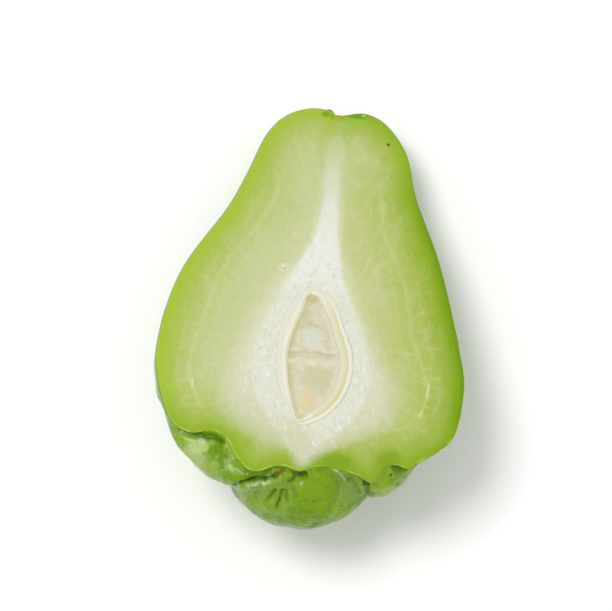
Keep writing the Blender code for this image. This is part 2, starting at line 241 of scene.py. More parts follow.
KERNEL_CLOUDS = ((0.32, (206, 201, 162)), (0.5, (217, 212, 180)), (0.68, (227, 223, 198)))

# === small marks ===
VEIN_STREAKS = (  # place, half size and turn
    ((-32.7, 24.2), (0.55, 2.4), 4.0),
    ((33.3, 28.0), (0.6, 4.0), -3.0),
    ((31.8, 20.6), (0.5, 2.2), -24.0))
FACE_MARKS = (  # place, half size, colour and strength
    ((-4.0, 118.6), (2.0, 1.5), (112, 164, 6), 0.8),
    ((5.4, 119.0), (4.6, 1.7), (112, 166, 0), 0.95),
    ((7.3, 119.1), (0.8, 0.6), (186, 232, 70), 0.8),
    ((-2.0, 117.8), (1.2, 1.6), (150, 158, 40), 0.7),
    ((0.3, 117.9), (2.6, 1.3), (176, 168, 66), 0.9),
    ((0.4, 118.7), (2.3, 0.45), (158, 122, 66), 0.9),
    ((1.0, 114.8), (3.4, 2.2), (176, 200, 124), 0.35),
    ((9.8, 3.6), (6.8, 3.6), (130, 165, 30), 0.75),
    ((24.2, 5.6), (4.6, 4.0), (126, 160, 38), 0.6),
    ((15.4, 109.4), (0.85, 0.8), (112, 82, 14), 1.0),
    ((14.7, 109.1), (0.9, 0.5), (186, 172, 88), 0.6))
KNIFE_GAP = ((22.4, 3.2), (4.2, 5.0))     # where the knife's pale line is faint
# a drop of juice, drawn only as a painted pale ring of light and a painted highlight
JUICE_DROP = (-11.0, 64.1)
DROP_RADIUS = 1.25
DROP_GLINT = ((-11.2, 64.6), (0.6, 0.5))
SKIN_TINTS_SHADE_AND_GLINTS = (  # place, radius, colour and strength; the skin's own tints, with some patches of painted shade and painted highlight as marked
    ((-8.0, -5.0, -7.0), 9.0, (136, 172, 60), 0.5),
    ((6.0, -4.0, -5.6), 7.4, (132, 164, 4), 0.9),
    ((14.4, -1.6, -8.4), 5.0, (152, 182, 84), 0.6),
    ((-12.0, -1.6, -1.4), 4.4, (96, 128, 24), 0.7),
    # painted shade, this and the next: darker towards the lip's lower edge, for the shadow under
    # the lip
    ((-3.0, -8.0, -25.0), 13.0, (82, 116, 6), 0.55),
    ((9.0, -6.0, -25.0), 12.0, (88, 122, 10), 0.5),
    ((-23.0, 4.4, -0.8), 2.4, (112, 146, 0), 0.9),
    ((-21.4, 1.9, -0.9), 2.3, (108, 144, 0), 0.9),
    ((-29.6, 5.4, -2.9), 2.4, (198, 216, 116), 0.6),
    ((-27.0, 5.2, -1.9), 1.9, (196, 214, 116), 0.7),
    ((-30.0, 3.0, -6.0), 7.0, (194, 206, 146), 0.6),
    ((-24.0, -2.0, -5.0), 4.5, (166, 188, 100), 0.6),
    ((-17.0, -3.4, -12.0), 4.0, (160, 182, 104), 0.5),
    ((-18.4, -1.6, -3.6), 3.0, (112, 152, 20), 0.7),
    # painted highlight on the top of the left lobe
    ((-28.2, 7.2, -1.8), 1.8, (206, 222, 168), 0.7),
    ((-23.6, 0.2, -2.6), 2.2, (160, 182, 80), 0.6),
    ((-6.2, -1.1, -1.0), 1.1, (104, 62, 40), 0.8),
    ((-5.2, -0.8, -1.1), 1.1, (122, 84, 52), 0.8),
    ((-6.4, -1.9, -1.3), 0.8, (96, 60, 30), 0.7),
    # painted shade in the hollow under the small roll beside the pit
    ((-2.7, -2.0, -2.3), 1.4, (76, 124, 0), 0.8),
    ((20.6, 2.2, -1.6), 3.4, (150, 180, 40), 0.9),
    ((22.4, 0.0, -4.2), 3.4, (150, 178, 36), 0.8),
    ((24.8, -0.4, -7.2), 3.2, (168, 194, 90), 0.8),
    # painted shade, this and the next two: in the creases between the lip and the right lobe, and
    # in the groove under the right cut edge
    ((19.8, -0.6, -9.0), 2.6, (84, 120, 20), 0.6),
    ((26.8, 3.6, -1.4), 2.2, (84, 126, 10), 0.7),
    ((18.4, 0.4, -5.4), 1.6, (50, 84, 0), 0.9),
    ((25.0, 2.1, -2.2), 0.55, (24, 34, 10), 1.0),
    ((27.1, 1.6, -6.6), 0.6, (30, 40, 14), 1.0),
    # painted shade in the blossom's pit
    ((0.0, 1.0, -4.4), 2.0, (70, 110, 0), 0.7),
    ((0.3, 118.0, -1.5), 3.2, (160, 150, 84), 0.8),
    ((0.3, 118.2, -2.2), 1.6, (134, 98, 58), 0.9))
KERNEL_PATCHES = (  # place, half size, turn, colour and strength
    # painted shadow: the darker cap under the kernel's top end, where its rim shades it
    ((-1.9, 55.0), (3.0, 2.0), 0, (203, 188, 142), 0.9),
    # painted highlight on the wet edge at the kernel's top end
    ((-1.3, 57.0), (1.3, 0.7), -10, (252, 250, 238), 1.0),
    ((0.0, 49.5), (2.6, 3.4), 0, (224, 213, 194), 0.5),
    ((-2.4, 48.5), (2.0, 4.5), 8, (206, 202, 158), 0.6),
    ((-0.8, 41.8), (3.6, 4.4), 0, (221, 222, 204), 0.9),
    ((-4.6, 42.0), (0.8, 3.6), 6, (230, 224, 196), 0.7),
    ((3.9, 44.0), (1.6, 4.2), 12, (210, 205, 166), 0.7),
    ((1.6, 29.6), (5.6, 4.8), 0, (209, 204, 160), 0.8),
    ((-0.9, 23.0), (3.8, 4.2), 0, (230, 214, 172), 0.8),
    ((0.6, 20.6), (4.8, 2.4), 20, (228, 212, 164), 0.6),
    ((-3.6, 21.8), (1.8, 3.6), 30, (230, 216, 194), 0.7),
    ((-1.9, 18.0), (1.3, 1.6), 0, (238, 226, 176), 0.8))
KERNEL_BANDS = (  # y, half width, colour and strength
    (38.3, 0.7, (229, 218, 200), 0.6),
    (37.2, 0.8, (196, 190, 148), 0.6),
    (35.9, 0.6, (203, 197, 156), 0.4),
    (34.4, 1.8, (229, 225, 198), 0.7))

# === mesh density ===
AROUND = 560
SKIN_RINGS = 112
RING_CROWDING = 1.3        # above 1, the rings crowd together near the cut edge
EDGE_STEPS = 3
FACE_RINGS = 40
BOWL_RINGS = 10
SEED_AROUND = 240
WALL_RINGS = 24            # rings on the coat's inner wall,
LEVEL_SHARE = 0.55         # of which this share stays at the top and keeps its edge crisp
KERNEL_RINGS = 40
CROWDED_RAYS = 3.2         # rays stand this much closer at the mouth and the stem
MOUTH_TOP = 13.0
STEM_BOTTOM = 114.0
STEM_HALF_WIDTH = 10.0
SHARP_DEG = 50.0           # steeper edges than this stay crisp
POLE_SIZE = 1e-6           # a ring smaller than this is one point

# --- search for the skin along a ray ---
NEAREST = 12.0
FARTHEST = 100.0
HALVINGS = 24
RAY_STEPS = 241
RAY_CROWDING = 1.6         # above 1, the rays crowd together near the cut edge
RAY_START = np.array([*SEED_CENTRE, 0.0])

# === studio ===
LIGHT_LEVEL = 1.19         # how much brighter than its own colour a surface looks
GLOSS_VEIL = 0.012         # light that every surface mirrors on top of its colour
SKY_COLOUR = (0.96, 0.98, 1.0, 1.0)
SKY_STRENGTH = 0.78
KEY_PLACE = (-0.44, 0.14, 1.43)
KEY_SIZE = 0.55
KEY_POWER = 10.2
FLOOR_HALF = 3.0
FLOOR_COLOURS = ((0.95, 0.93, 0.925, 1.0), (0.965, 0.945, 0.94, 1.0))

# --- the camera, seen from the cut face ---
AIM = (-3.43, 52.16, 0.0)  # point of the cut face in the middle of the view
VIEW_DISTANCE = 700.0
OFF_NORMAL_DEG = 30.0      # towards the blossom end
LEAN_DEG = 5.69            # the stem points this much to the right
FOCAL_MM = 144.1
SENSOR_MM = 36.0


# === curves and fields ===
def closed_spline(points, steps=12):
    """Smooth closed curve through the points, as an (n, 2) array."""
    p = np.array(points, float)
    before, after = np.roll(p, 1, 0), np.roll(p, -1, 0)
    later = np.roll(p, -2, 0)
    d1, d2, d3 = (np.sqrt(np.linalg.norm(b - a, axis=1))[:, None]
                  for a, b in ((before, p), (p, after), (after, later)))
    m1 = d2 * ((p - before) / d1 - (after - before) / (d1 + d2) + (after - p) / d2)
    m2 = d2 * ((after - p) / d2 - (later - p) / (d2 + d3) + (later - after) / d3)
    rows = []
    for t in np.arange(steps) / steps:
        from_point = (2 * t**3 - 3 * t**2 + 1) * p + (t**3 - 2 * t**2 + t) * m1
        to_next = (3 * t**2 - 2 * t**3) * after + (t**3 - t**2) * m2
        rows.append(from_point + to_next)
    return np.stack(rows, 1).reshape(-1, 2)


def radius_at(points, angles):
    """Distance from the seed's centre to the closed curve, for each angle."""
    c = closed_spline(points) - np.array(SEED_CENTRE)
    turn = np.mod(np.arctan2(c[:, 1], c[:, 0]), 2 * math.pi)
    order = np.argsort(turn)
    return np.interp(np.mod(angles, 2 * math.pi), turn[order],
                     np.hypot(c[:, 0], c[:, 1])[order], period=2 * math.pi)


def outline_distance(points, xy):
    """Signed distance of the points xy to a closed curve, positive inside."""
    corners = closed_spline(points, steps=8)
    best = np.full(len(xy), np.inf)
    inside = np.zeros(len(xy), bool)
    for p, q in zip(corners, np.roll(corners, -1, 0)):
        d = q - p
        t = np.clip(((xy - p) @ d) / (d @ d), 0, 1)
        best = np.minimum(best, np.hypot(*(xy - p - t[:, None] * d).T))
        crosses = (p[1] > xy[:, 1]) != (q[1] > xy[:, 1])
        if d[1]:
            inside ^= crosses & (xy[:, 0] < p[0] + (xy[:, 1] - p[1]) / d[1] * d[0])
    return np.where(inside, best, -best)


def line_distance(p, line):
    """Distance from the points to a line through a few places."""
    best = np.full(p.shape[:-1], np.inf)
    for start, end in zip(line[:-1], line[1:]):
        a, d = np.array(start), np.array(end) - np.array(start)
        t = np.clip(((p - a) @ d) / (d @ d), 0, 1)
        best = np.minimum(best, np.linalg.norm(p - a - t[..., None] * d, axis=-1))
    return best


def ease(t):
    """Smooth step from 0 to 1."""
    t = np.clip(t, 0, 1)
    return t * t * (3 - 2 * t)


def hill(t):
    """Bell curve: 1 at 0, falling off over about 1 either way."""
    return np.exp(-0.5 * t ** 2)


def waves(p, length, seed, stretch=(1, 1, 1), count=28):
    """Smooth random field of about unit size, with bumps roughly length apart."""
    rng = np.random.RandomState(seed)
    way = rng.normal(size=(count, 3))
    way /= np.linalg.norm(way, axis=1)[:, None]
    way *= rng.uniform(0.7, 1.4, (count, 1)) * 2 * math.pi / length / np.array(stretch)
    phase = rng.uniform(0, 2 * math.pi, count)
    return np.cos(p @ way.T + phase).sum(-1) * math.sqrt(2 / count)


def ellipsoid(p, centre, half_axes):
    """Approximate signed distance from the points to an ellipsoid."""
    q, r = p - np.array(centre), np.array(half_axes)
    k0 = np.linalg.norm(q / r, axis=-1)
    return k0 * (k0 - 1) / np.maximum(np.linalg.norm(q / r**2, axis=-1), BARELY)


def join(a, b, blend):
    """Distance to two bodies at once, rounded where they meet."""
    h = np.clip(0.5 + 0.5 * (b - a) / blend, 0, 1)
    return b * (1 - h) + a * h - blend * h * (1 - h)


def cut_away(body, tool, blend):
    """Distance to a body with another one cut out of it."""
    return -join(-body, tool, blend)


# === the skin ===
def ray_angles():
    """Directions of the rays: even steps along the cut edge, closer at both ends."""
    c = closed_spline(CUT_OUTLINE, steps=40)
    step = np.linalg.norm(np.roll(c, -1, 0) - c, axis=1)
    middle = (np.roll(c, -1, 0) + c) / 2
    at_mouth = middle[:, 1] < MOUTH_TOP
    at_stem = (middle[:, 1] > STEM_BOTTOM) & (np.abs(middle[:, 0]) < STEM_HALF_WIDTH)
    weighted = step * np.where(at_mouth | at_stem, CROWDED_RAYS, 1.0)
    along = np.concatenate([[0], np.cumsum(weighted)])
    turn = np.unwrap(np.arctan2(c[:, 1] - SEED_CENTRE[1], c[:, 0] - SEED_CENTRE[0]))
    turn = np.append(turn, turn[0] + math.copysign(2 * math.pi, turn[-1] - turn[0]))
    picks = np.interp(np.arange(AROUND) / AROUND * along[-1], along, turn)
    return np.sort(np.mod(picks, 2 * math.pi))


def furrows(p):
    """Depth of the lengthwise furrows."""
    azimuth = np.degrees(np.arctan2(p[..., 2], p[..., 0]))
    upper = ease((FURROW_END - p[..., 1]) / FURROW_END)
    lower = ease((p[..., 1] - FURROW_START) / FURROW_RISE)
    return sum(FURROW_DEPTH * upper * lower * hill((azimuth - a) / FURROW_WIDTH_DEG)
               for a in FURROW_AZIMUTHS_DEG)


def fruit(p):
    """Signed distance to the whole fruit, below the cut face."""
    body = join(ellipsoid(p, *BELLY), ellipsoid(p, *NECK), NECK_BLEND)
    for lobe in (RIGHT_CHEEK, LEFT_LOBE, RIGHT_LOBE):
        body = join(body, ellipsoid(p, *lobe), LOBE_BLEND)
    under = ease((KEEL_TOP - p[..., 2]) / KEEL_DROP)
    crease = CREASE_BLEND + (KEEL_BLEND - CREASE_BLEND) * under
    body = join(body, ellipsoid(p, *LIP), crease)
    body = join(body, ellipsoid(p, *LIP_DOME), DOME_BLEND) + furrows(p)
    body = cut_away(body, ellipsoid(p, *STEM_DIMPLE), DIMPLE_BLEND)
    return cut_away(body, ellipsoid(p, *BLOSSOM_PIT), PIT_BLEND)


def cast(directions):
    """Distance from the seed's centre to the skin, along each direction."""
    near = np.full(directions.shape[:-1], NEAREST)
    far = np.full(directions.shape[:-1], FARTHEST)
    for _ in range(HALVINGS):
        middle = (near + far) / 2
        inside = fruit(RAY_START + directions * middle[..., None]) < 0
        near, far = np.where(inside, middle, near), np.where(inside, far, middle)
    return (near + far) / 2


def skin_lines(angles, down, weight):
    """Lines of skin points down each ray; their upper end follows the cut outline."""
    a, b = np.meshgrid(angles, down, indexing="ij")
    directions = np.stack([np.cos(a) * np.cos(b), np.sin(a) * np.cos(b), -np.sin(b)], -1)
    reach = cast(directions)
    edge = radius_at(CUT_OUTLINE, angles)
    stretch = edge / reach[:, 0]
    broad = weight @ stretch
    broad = 1 + (broad - 1) * ease((np.sin(angles) - BLOSSOM_SIDE) / BLOSSOM_FADE)
    mouth = ease((MOUTH_HALF_WIDTH - np.abs(edge * np.cos(angles))) / MOUTH_FADE)
    mouth = mouth * (np.sin(angles) < 0)
    fine = np.radians(RIM_BLEND_DEG + (MOUTH_BLEND_DEG - RIM_BLEND_DEG) * mouth)
    at_side = 1 - ease(b / np.radians(SIDE_BLEND_DEG))
    at_rim = 1 - ease(b / fine[:, None])
    reach = reach * (1 + (broad - 1)[:, None] * at_side)
    reach = reach * (1 + (stretch / broad - 1)[:, None] * at_rim)
    return RAY_START + directions * reach[..., None]


def skin(angles):
    """Rings of skin points, from the cut edge down to the middle of the back."""
    apart = np.abs(np.angle(np.exp(1j * (angles[:, None] - angles))))
    weight = hill(np.degrees(apart) / BROAD_WAVE_DEG)
    weight = weight / weight.sum(1, keepdims=True)
    down = np.radians(90) * np.linspace(0, 1, RAY_STEPS) ** RAY_CROWDING
    lines = skin_lines(angles, down, weight)
    steps = np.linalg.norm(np.diff(lines, axis=1, prepend=lines[:, :1]), axis=2)
    share = np.linspace(0, 1, SKIN_RINGS + 1) ** RING_CROWDING
    picks = np.array([np.interp(share * run[-1], run, down) for run in np.cumsum(steps, 1)])
    picks = weight @ picks
    rows = [[np.interp(row, down, line[:, k]) for k in range(3)]
            for row, line in zip(picks, lines)]
    return np.array(rows).transpose(2, 0, 1)


def on_skin(line, rings):
    """The points of a line, each moved to the nearest point of the skin."""
    cloud = rings.reshape(-1, 3)
    return [cloud[np.linalg.norm(cloud - np.array(p), axis=1).argmin()] for p in line]


def outward(rings):
    """Unit normals of the skin, from the rings' own grid."""
    around = np.roll(rings, -1, 1) - np.roll(rings, 1, 1)
    down = np.gradient(rings, axis=0)
    normal = np.cross(down, around)
    return normal / np.maximum(np.linalg.norm(normal, axis=-1, keepdims=True), BARELY)


def lump_height(rings):
    """Height of the lumps of a grown skin; nothing moves at the cut edge."""
    height = sum(size * waves(rings, length, seed, stretch)
                 for size, length, seed, stretch in LUMPS)
    return height * ease(-rings[..., 2] / LUMP_FADE)


def fold_height(rings):
    """Height of the folds, and how deep each point lies in them."""
    stray = np.stack([waves(rings, WANDER_LENGTH, seed) for seed in WANDER_SEEDS], -1)
    bent = rings + WANDER * stray
    height = np.zeros(rings.shape[:-1])
    depth = np.zeros(rings.shape[:-1])
    for line, half_width, rise in FOLDS:
        near = hill(line_distance(bent, on_skin(line, rings)) / half_width)
        bend = rise * near * ease(-rings[..., 2] / FOLD_FADE)
        height += bend
        depth += np.maximum(0, -bend)
    return height, depth


def pale_glint_share(rings):
    """How strongly the pale lines along rims show: painted highlights, partly pale stretched skin.
    """
    return sum(strength * hill(line_distance(rings, on_skin(line, rings)) / PALE_GLINT_LINE_WIDTH)
               for line, strength in PALE_GLINT_LINES)


def wrinkle(rings):
    """Skin rings with their lumps and folds, and the fields that colour them."""
    out = rings - RAY_START
    lumps = lump_height(rings)[..., None] / np.linalg.norm(out, axis=-1, keepdims=True)
    folds, depth = fold_height(rings)
    moved = RAY_START + out * (1 + lumps) + outward(rings) * folds[..., None]
    ceiling = np.maximum(rings[..., 2], FOLD_CEILING)
    moved[..., 2] = np.minimum(moved[..., 2], ceiling)
    # the fold field paints shade into the folds, and the pale field paints highlights along rims
    return moved, {"fold": depth, "pale": pale_glint_share(rings)}


# === the meshes ===
def loft(rings):
    """Points and faces of a skin through rings, outside first, and each face's ring."""
    verts, rows = [], []
    for ring in rings:
        pole = np.ptp(ring, axis=0).max() < POLE_SIZE
        start = len(verts)
        verts.extend(ring[:1] if pole else ring)
        rows.append([start] * len(ring) if pole else list(range(start, start + len(ring))))
    faces, owner = [], []
    for k, (upper, lower) in enumerate(zip(rows[:-1], rows[1:])):
        for i in range(len(upper)):
            j = (i + 1) % len(upper)
            faces.append(list(dict.fromkeys((upper[i], upper[j], lower[j], lower[i]))))
            owner.append(k)
    return np.array(verts), faces, np.array(owner)


def level_ring(angles, radius, z):
    """Ring at a height z, with a distance from the seed's centre for each angle."""
    return np.stack([SEED_CENTRE[0] + radius * np.cos(angles),
                     SEED_CENTRE[1] + radius * np.sin(angles),
                     np.full(len(angles), z)], 1)


def bowl(angles, outline, depth, top, grow=0.0):
    """Rings of a bowl under an outline on the cut face, rim first."""
    radius = radius_at(outline, angles) + grow
    leans = np.radians(np.linspace(0, 90, BOWL_RINGS + 1))
    return [level_ring(angles, radius * math.cos(lean), top - depth * math.sin(lean))
            for lean in leans]


def rounded_edge(edge):
    """Rings that round the knife's edge, from the skin to the cut face."""
    inward = RAY_START - edge
    inward /= np.linalg.norm(inward, axis=1)[:, None]
    rings = []
    for lean in np.radians(np.linspace(0, 90, EDGE_STEPS + 1)):
        drop = EDGE_ROUNDING * (1 - math.sin(lean))
        inset = EDGE_ROUNDING * (1 - math.cos(lean))
        rings.append(edge + inward * inset - np.array([0, 0, drop]))
    return rings


def cut_face(angles, edge):
    """Rings of the cut face, from its edge to the rim of the seed's seat."""
    outer = np.hypot(*(edge[:, :2] - np.array(SEED_CENTRE)).T)
    inner = radius_at(COAT_OUTLINE, angles) + SEAT_GAP
    return [level_ring(angles, outer + (inner - outer) * t, 0.0)
            for t in np.linspace(0, 1, FACE_RINGS + 1)]


def even_angles(count):
    """Angles in even steps round a circle."""
    return np.linspace(0, 2 * math.pi, count, endpoint=False)


def lay_matrix():
    """Rotation from the fruit's frame to the frame of the part."""
    mounts = {m["name"]: m for m in frame["record"]["mounts"]}
    _, y, z = mounts["cut_face"]["axis"]
    return np.array([[1, 0, 0], [0, z, y], [0, -y, z]])


def find_shift():
    """The seed coat's CAD box says where the fruit's frame lies."""
    low, high = (np.array(v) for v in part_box("seed_coat"))
    coat = np.concatenate(bowl(even_angles(SEED_AROUND), COAT_OUTLINE, COAT_DEPTH, 0.0))
    laid = coat @ LAY.T * MM
    return (low + high) / 2 - (laid.min(0) + laid.max(0)) / 2


LAY = lay_matrix()
SHIFT = find_shift()


def place(points):
    """Points of the fruit's frame, in mm, as metres in the part's frame."""
    return np.asarray(points) @ LAY.T * MM + SHIFT


def press_flat(points):
    """The points of the fruit's frame, with none below the table it rests on."""
    laid = place(points)
    laid[:, 2] = np.maximum(laid[:, 2], 0.0)
    return (laid - SHIFT) / MM @ LAY


def store(mesh, name, kind, values):
    """Field over the mesh's points that the materials read by its name."""
    field = mesh.attributes.new(name, kind, "POINT")
    key = "vector" if kind == "FLOAT_VECTOR" else "value"
    field.data.foreach_set(key, np.asarray(values, np.float32).ravel())


def seed_rays(points):
    """Coordinates that change slowly along lines running away from the seed."""
    out = points[:, :2] - np.array(SEED_CENTRE)
    turn, far = np.arctan2(out[:, 1], out[:, 0]), np.hypot(*out.T)
    return np.stack([STREAKS_ROUND * np.cos(turn), STREAKS_ROUND * np.sin(turn),
                     far / STREAK_LENGTH], 1)


def add_object(name, data):
    """Object with this data, linked into the scene."""
    made = bpy.data.objects.new(name, data)
    bpy.context.scene.collection.objects.link(made)
    return made


def make(name, points, faces, fields, materials, slots=None):
    """Mesh object from points of the fruit's frame, riding on the part."""
    mesh = bpy.data.meshes.new(name)
    mesh.from_pydata([tuple(p) for p in place(points)], [], faces)
    for material in materials:
        mesh.materials.append(material)
    if slots is not None:
        mesh.polygons.foreach_set("material_index", slots)
    mesh.shade_smooth()
    mesh.set_sharp_from_angle(angle=math.radians(SHARP_DEG))
    store(mesh, "fruit", "FLOAT_VECTOR", points / MM_PER_CM)
    store(mesh, "ray", "FLOAT_VECTOR", seed_rays(points))
    for key, values in fields.items():
        store(mesh, key, "FLOAT", values)
    mesh.update()
    piece = add_object(name, mesh)
    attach(piece, "root")
    return piece


# === materials ===
def seen(r, g, b):
    """Colour of a surface that looks like these sRGB bytes in the studio's light."""
    shown = [c / 255 for c in (r, g, b)]
    linear = [c / 12.92 if c <= 0.04045 else ((c + 0.055) / 1.055) ** 2.4 for c in shown]
    return (*(max(0.0, (c - GLOSS_VEIL) / LIGHT_LEVEL) for c in linear), 1.0)


class Shader:
    """Short names for building one material out of nodes. Places are in mm."""

    def __init__(self, name):
        self.material = bpy.data.materials.new(name)
        self.material.use_nodes = True
        self.tree = self.material.node_tree
        self.surface = self.tree.nodes["Principled BSDF"]

    def node(self, kind, inputs=(), **settings):
        made = self.tree.nodes.new("ShaderNode" + kind)
        for key, value in settings.items():
            setattr(made, key, value)
        for key, value in dict(inputs).items():
            self.feed(made.inputs[key], value)
        return made

    def feed(self, socket, value):
        if isinstance(value, bpy.types.NodeSocket):
            self.tree.links.new(value, socket)
        else:
            socket.default_value = value

    # --- numbers ---
    def math(self, operation, a, b=0.0):
        return self.node("Math", {0: a, 1: b}, operation=operation).outputs[0]

    def plus(self, a, b):
        return self.math("ADD", a, b)

    def minus(self, a, b):
        return self.math("SUBTRACT", a, b)

    def times(self, first, *others):
        for other in others:
            first = self.math("MULTIPLY", first, other)
        return first

    def ramp(self, value, low, high, start=0.0, end=1.0):
        """Smooth step of the value between low and high, from start to end."""
        made = self.node("MapRange", {0: value, 1: low, 2: high, 3: start, 4: end},
                         interpolation_type="SMOOTHSTEP")
        return made.outputs[0]

    def peak(self, value, middle, width):
        """1 where the value is at the middle, falling smoothly to 0 at the width."""
        off = self.math("ABSOLUTE", self.minus(value, middle))
        return self.ramp(off, 0.0, width, 1.0, 0.0)

    # --- places ---
    def field(self, name):
        return self.node("Attribute", attribute_name=name).outputs["Fac"]

    def place(self, stretch=(1, 1, 1)):
        """Position in the fruit's frame, in centimetres, stretched."""
        where = self.node("Attribute", attribute_name="fruit").outputs["Vector"]
        return self.node("VectorMath", {0: where, 1: stretch}, operation="MULTIPLY").outputs[0]

    def place_mm(self):
        return self.place((MM_PER_CM, MM_PER_CM, MM_PER_CM))

    def across_and_along(self):
        x, y, _ = self.node("SeparateXYZ", {0: self.place_mm()}).outputs
        return x, y

    def distance(self, centre):
        """Distance to a place on the skin."""
        return self.node("VectorMath", {0: self.place_mm(), 1: centre},
                         operation="DISTANCE").outputs["Value"]

    def spot(self, centre, size, turn=0.0):
        """1 at a place on the cut face, falling to 0 at the ends of an ellipse."""
        flat_place = self.place((MM_PER_CM, MM_PER_CM, 0))
        off = self.node("VectorMath", {0: flat_place, 1: (*centre, 0)},
                        operation="SUBTRACT").outputs[0]
        turned = self.node("VectorRotate", {"Vector": off, "Angle": math.radians(-turn)},
                           rotation_type="Z_AXIS").outputs[0]
        scaled = self.node("VectorMath", {0: turned, 1: (1 / size[0], 1 / size[1], 0)},
                           operation="MULTIPLY").outputs[0]
        far = self.node("VectorMath", {0: scaled}, operation="LENGTH").outputs["Value"]
        rough = self.plus(far, self.stray(self.noise(3.0, 2.0), 0.5))
        return self.ramp(rough, 0.35, 1.0, 1.0, 0.0)

    def ball(self, centre, radius):
        """1 at a place on the skin, falling to 0 at the radius."""
        rough = self.plus(self.distance(centre), self.stray(self.noise(4.0, 3.0), radius * 0.7))
        return self.ramp(rough, radius * 0.45, radius, 1.0, 0.0)

    # --- patterns ---
    def noise(self, scale, detail=2.0, stretch=(1, 1, 1), roughness=0.5, distort=0.0):
        made = self.node("TexNoise", {"Vector": self.place(stretch), "Scale": scale,
                                      "Detail": detail, "Roughness": roughness,
                                      "Distortion": distort})
        return made.outputs["Fac"]

    def stray(self, noise, reach):
        """Noise as a shift to both sides of 0, over as much as the reach."""
        return self.times(self.minus(noise, 0.5), reach)

    def rays(self, scale, detail):
        """Noise drawn out along lines that run away from the seed."""
        where = self.node("Attribute", attribute_name="ray").outputs["Vector"]
        made = self.node("TexNoise", {"Vector": where, "Scale": scale, "Detail": detail})
        return made.outputs["Fac"]

    def cells(self, scale):
        """Distance to the nearest of scattered points."""
        made = self.node("TexVoronoi", {"Vector": self.place(), "Scale": scale})
        return made.outputs["Distance"]

    # --- colours ---
    def mix(self, share, a, b):
        return self.node("Mix", {0: share, 6: a, 7: b}, data_type="RGBA").outputs[2]

    def paint(self, under, colour, share):
        """The colour below, with a share of another over it."""
        return self.mix(share, under, seen(*colour))

    def colours(self, value, stops):
        """Colour ramp through (position, colour) stops."""
        made = self.node("ValToRGB", {0: value})
        ramp = made.color_ramp
        for element, (position, colour) in zip(ramp.elements, (stops[0], stops[-1])):
            element.position, element.color = position, seen(*colour)
        for position, colour in stops[1:-1]:
            ramp.elements.new(position).color = seen(*colour)
        return made.outputs[0]

    # --- surface ---
    def bump(self, height, strength, distance):
        made = self.node("Bump", {"Height": height, "Strength": strength,
                                  "Distance": distance})
        return made.outputs[0]

    def finish(self, **inputs):
        for key, value in inputs.items():
            self.feed(self.surface.inputs[key.replace("_", " ")], value)
        return self.material


# --- flesh ---
def green_flesh(s, x, y, depth):
    """Flesh that pales from the rim inwards, greener on the right and at the bottom."""
    stray = s.stray(s.noise(1.6, 4.0), s.ramp(depth, 0.0, 8.0, 1.0, 5.0))
    inward = s.math("DIVIDE", s.plus(depth, stray), FLESH_REACH)
    left, right, bottom = (s.colours(inward, stops)
                           for stops in (FLESH_LEFT, FLESH_RIGHT, FLESH_BOTTOM))
    on_right = s.times(s.ramp(x, -8.0, 12.0), s.ramp(y, 108.0, 76.0, 0.5, 1.0))
    return s.mix(s.ramp(y, 8.0, 24.0, 0.85, 0.0), s.mix(on_right, left, right), bottom)


def mottled(s, colour, depth):
    """Flesh with broad blotches, small ones, and rays that run away from the seed."""
    deep = s.ramp(depth, 1.0, 9.0)
    blotch = s.noise(0.9, 5.0, (1.0, 0.6, 1.0), 0.6)
    colour = s.paint(colour, (216, 214, 176), s.times(s.ramp(blotch, 0.46, 0.66, 0.0, 0.24), deep))
    colour = s.paint(colour, (174, 190, 84), s.ramp(blotch, 0.46, 0.30, 0.0, 0.22))
    small = s.noise(7.0, 4.0, (1.0, 0.55, 1.0), 0.65)
    colour = s.paint(colour, (224, 224, 178), s.times(s.ramp(small, 0.50, 0.72, 0.0, 0.20), deep))
    colour = s.paint(colour, (168, 186, 76), s.ramp(small, 0.48, 0.28, 0.0, 0.16))
    rays = s.times(s.ramp(s.rays(7.0, 3.0), 0.50, 0.72, 0.0, 0.20), deep)
    return s.paint(colour, (222, 222, 178), rays)


def veined(s, colour, y):
    """Flesh with a ring of fine veins, fainter ones beside it, and bright streaks."""
    vein = s.plus(s.field("vein"), s.stray(s.noise(1.2, 2.0), 2.0))
    beside = s.plus(s.peak(vein, 3.4, 0.9), s.peak(vein, -3.6, 0.9))
    lines = s.plus(s.peak(vein, 0.0, 1.1), s.times(beside, 0.4))
    patchy = s.ramp(s.noise(1.3, 2.0), 0.36, 0.54, 0.25, 1.0)
    in_middle = s.times(s.ramp(y, 8.0, 20.0), s.ramp(y, 104.0, 84.0))
    colour = s.paint(colour, (222, 226, 164), s.times(lines, patchy, in_middle, 0.24))
    for centre, size, turn in VEIN_STREAKS:
        colour = s.paint(colour, (226, 232, 178), s.times(s.spot(centre, size, turn), 0.55))
    return colour


def halo_share(s, x, y, grain):
    """How pale the flesh is round the core, with a soft edge that is widest at the lower left."""
    inward = s.plus(s.field("halo"), s.times(grain, s.ramp(y, 4.0, 20.0, 2.0, 5.0)))
    low_left = s.times(s.ramp(y, 24.0, 16.0), s.ramp(x, -4.0, -10.0))
    outer = s.minus(s.ramp(y, 6.0, 16.0, -1.6, -5.5), s.times(low_left, 3.0))
    inner = s.plus(s.ramp(y, 6.0, 16.0, 2.6, 4.0), s.times(low_left, 2.5))
    return s.times(s.ramp(inward, outer, inner), s.ramp(y, 76.0, 60.0))


def sponge_share(s, y, raised, inward):
    """How white the sponge is: it fades up the streak to the stem and at its lower tip."""
    edge = s.ramp(y, 92.0, 66.0, 3.2, 1.6)
    share = s.ramp(s.math("DIVIDE", s.plus(inward, 0.7), edge), 0.0, 1.0)
    return s.times(share, s.ramp(y, 72.0, 112.0, 0.96, 0.12), s.ramp(raised, 4.0, 20.0, 0.25, 1.0))


